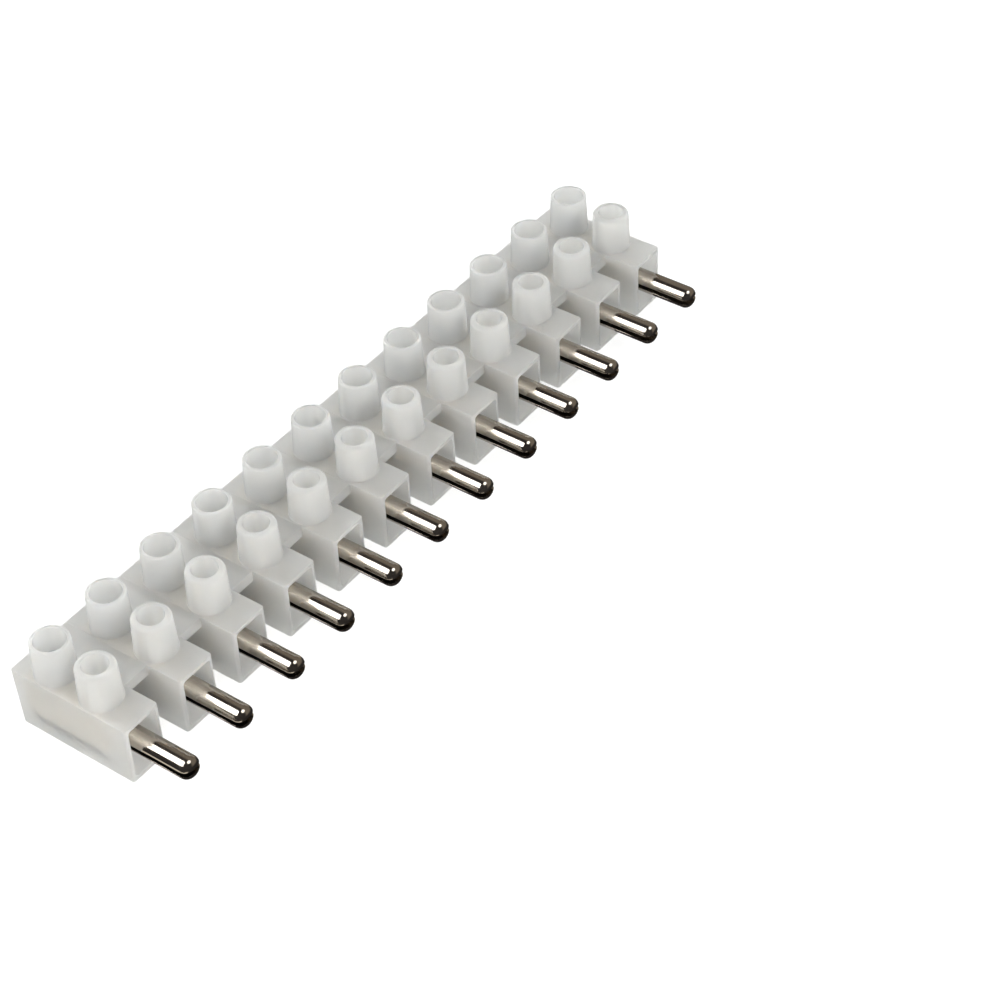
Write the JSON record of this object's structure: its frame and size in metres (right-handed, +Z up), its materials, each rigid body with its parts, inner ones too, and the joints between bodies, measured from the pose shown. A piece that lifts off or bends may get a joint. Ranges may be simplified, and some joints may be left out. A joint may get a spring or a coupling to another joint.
{
  "type": "pluggable terminal strip",
  "caption": "Translucent pluggable screw terminal strip: a row of joined blocks with round screw towers on top and slotted round plug pins standing out of open front mouths.",
  "frame": {"origin": "centre of the footprint, pins included, on the plane that the strip stands on", "axes": "+X along the row of poles, the plug pins point to -Y and the wire entries face +Y, +Z up through the screw towers"},
  "size_m": [0.116, 0.0269, 0.0145],
  "materials": {
    "nylon": "milky translucent natural nylon, satin",
    "brass": "bare turned brass",
    "nickel": "bright nickel plate over brass",
    "zinc": "clear zinc plate on steel"
  },
  "bodies": {
    "strip": {"housing": "nylon", "contact_1": "brass", "contact_2": "brass", "contact_3": "brass", "contact_4": "brass", "contact_5": "brass", "contact_6": "brass", "contact_7": "brass", "contact_8": "brass", "contact_9": "brass", "contact_10": "brass", "contact_11": "brass", "contact_12": "brass", "plug_pin_1": "nickel", "plug_pin_2": "nickel", "plug_pin_3": "nickel", "plug_pin_4": "nickel", "plug_pin_5": "nickel", "plug_pin_6": "nickel", "plug_pin_7": "nickel", "plug_pin_8": "nickel", "plug_pin_9": "nickel", "plug_pin_10": "nickel", "plug_pin_11": "nickel", "plug_pin_12": "nickel"},
    "pin_screw_1": {"pin_screw_1": "zinc"},
    "pin_screw_2": {"pin_screw_2": "zinc"},
    "pin_screw_3": {"pin_screw_3": "zinc"},
    "pin_screw_4": {"pin_screw_4": "zinc"},
    "pin_screw_5": {"pin_screw_5": "zinc"},
    "pin_screw_6": {"pin_screw_6": "zinc"},
    "pin_screw_7": {"pin_screw_7": "zinc"},
    "pin_screw_8": {"pin_screw_8": "zinc"},
    "pin_screw_9": {"pin_screw_9": "zinc"},
    "pin_screw_10": {"pin_screw_10": "zinc"},
    "pin_screw_11": {"pin_screw_11": "zinc"},
    "pin_screw_12": {"pin_screw_12": "zinc"},
    "wire_screw_1": {"wire_screw_1": "zinc"},
    "wire_screw_2": {"wire_screw_2": "zinc"},
    "wire_screw_3": {"wire_screw_3": "zinc"},
    "wire_screw_4": {"wire_screw_4": "zinc"},
    "wire_screw_5": {"wire_screw_5": "zinc"},
    "wire_screw_6": {"wire_screw_6": "zinc"},
    "wire_screw_7": {"wire_screw_7": "zinc"},
    "wire_screw_8": {"wire_screw_8": "zinc"},
    "wire_screw_9": {"wire_screw_9": "zinc"},
    "wire_screw_10": {"wire_screw_10": "zinc"},
    "wire_screw_11": {"wire_screw_11": "zinc"},
    "wire_screw_12": {"wire_screw_12": "zinc"}
  },
  "joints": [
    {"name": "pin_screw_1_travel", "type": "slide", "parent": "strip", "child": "pin_screw_1", "axis": [0, 0, 1], "range_m": [0, 0.0012]},
    {"name": "pin_screw_2_travel", "type": "slide", "parent": "strip", "child": "pin_screw_2", "axis": [0, 0, 1], "range_m": [0, 0.0012]},
    {"name": "pin_screw_3_travel", "type": "slide", "parent": "strip", "child": "pin_screw_3", "axis": [0, 0, 1], "range_m": [0, 0.0012]},
    {"name": "pin_screw_4_travel", "type": "slide", "parent": "strip", "child": "pin_screw_4", "axis": [0, 0, 1], "range_m": [0, 0.0012]},
    {"name": "pin_screw_5_travel", "type": "slide", "parent": "strip", "child": "pin_screw_5", "axis": [0, 0, 1], "range_m": [0, 0.0012]},
    {"name": "pin_screw_6_travel", "type": "slide", "parent": "strip", "child": "pin_screw_6", "axis": [0, 0, 1], "range_m": [0, 0.0012]},
    {"name": "pin_screw_7_travel", "type": "slide", "parent": "strip", "child": "pin_screw_7", "axis": [0, 0, 1], "range_m": [0, 0.0012]},
    {"name": "pin_screw_8_travel", "type": "slide", "parent": "strip", "child": "pin_screw_8", "axis": [0, 0, 1], "range_m": [0, 0.0012]},
    {"name": "pin_screw_9_travel", "type": "slide", "parent": "strip", "child": "pin_screw_9", "axis": [0, 0, 1], "range_m": [0, 0.0012]},
    {"name": "pin_screw_10_travel", "type": "slide", "parent": "strip", "child": "pin_screw_10", "axis": [0, 0, 1], "range_m": [0, 0.0012]},
    {"name": "pin_screw_11_travel", "type": "slide", "parent": "strip", "child": "pin_screw_11", "axis": [0, 0, 1], "range_m": [0, 0.0012]},
    {"name": "pin_screw_12_travel", "type": "slide", "parent": "strip", "child": "pin_screw_12", "axis": [0, 0, 1], "range_m": [0, 0.0012]},
    {"name": "wire_screw_1_travel", "type": "slide", "parent": "strip", "child": "wire_screw_1", "axis": [0, 0, -1], "range_m": [0, 0.0031]},
    {"name": "wire_screw_2_travel", "type": "slide", "parent": "strip", "child": "wire_screw_2", "axis": [0, 0, -1], "range_m": [0, 0.0031]},
    {"name": "wire_screw_3_travel", "type": "slide", "parent": "strip", "child": "wire_screw_3", "axis": [0, 0, -1], "range_m": [0, 0.0031]},
    {"name": "wire_screw_4_travel", "type": "slide", "parent": "strip", "child": "wire_screw_4", "axis": [0, 0, -1], "range_m": [0, 0.0031]},
    {"name": "wire_screw_5_travel", "type": "slide", "parent": "strip", "child": "wire_screw_5", "axis": [0, 0, -1], "range_m": [0, 0.0031]},
    {"name": "wire_screw_6_travel", "type": "slide", "parent": "strip", "child": "wire_screw_6", "axis": [0, 0, -1], "range_m": [0, 0.0031]},
    {"name": "wire_screw_7_travel", "type": "slide", "parent": "strip", "child": "wire_screw_7", "axis": [0, 0, -1], "range_m": [0, 0.0031]},
    {"name": "wire_screw_8_travel", "type": "slide", "parent": "strip", "child": "wire_screw_8", "axis": [0, 0, -1], "range_m": [0, 0.0031]},
    {"name": "wire_screw_9_travel", "type": "slide", "parent": "strip", "child": "wire_screw_9", "axis": [0, 0, -1], "range_m": [0, 0.0031]},
    {"name": "wire_screw_10_travel", "type": "slide", "parent": "strip", "child": "wire_screw_10", "axis": [0, 0, -1], "range_m": [0, 0.0031]},
    {"name": "wire_screw_11_travel", "type": "slide", "parent": "strip", "child": "wire_screw_11", "axis": [0, 0, -1], "range_m": [0, 0.0031]},
    {"name": "wire_screw_12_travel", "type": "slide", "parent": "strip", "child": "wire_screw_12", "axis": [0, 0, -1], "range_m": [0, 0.0031]}
  ]
}
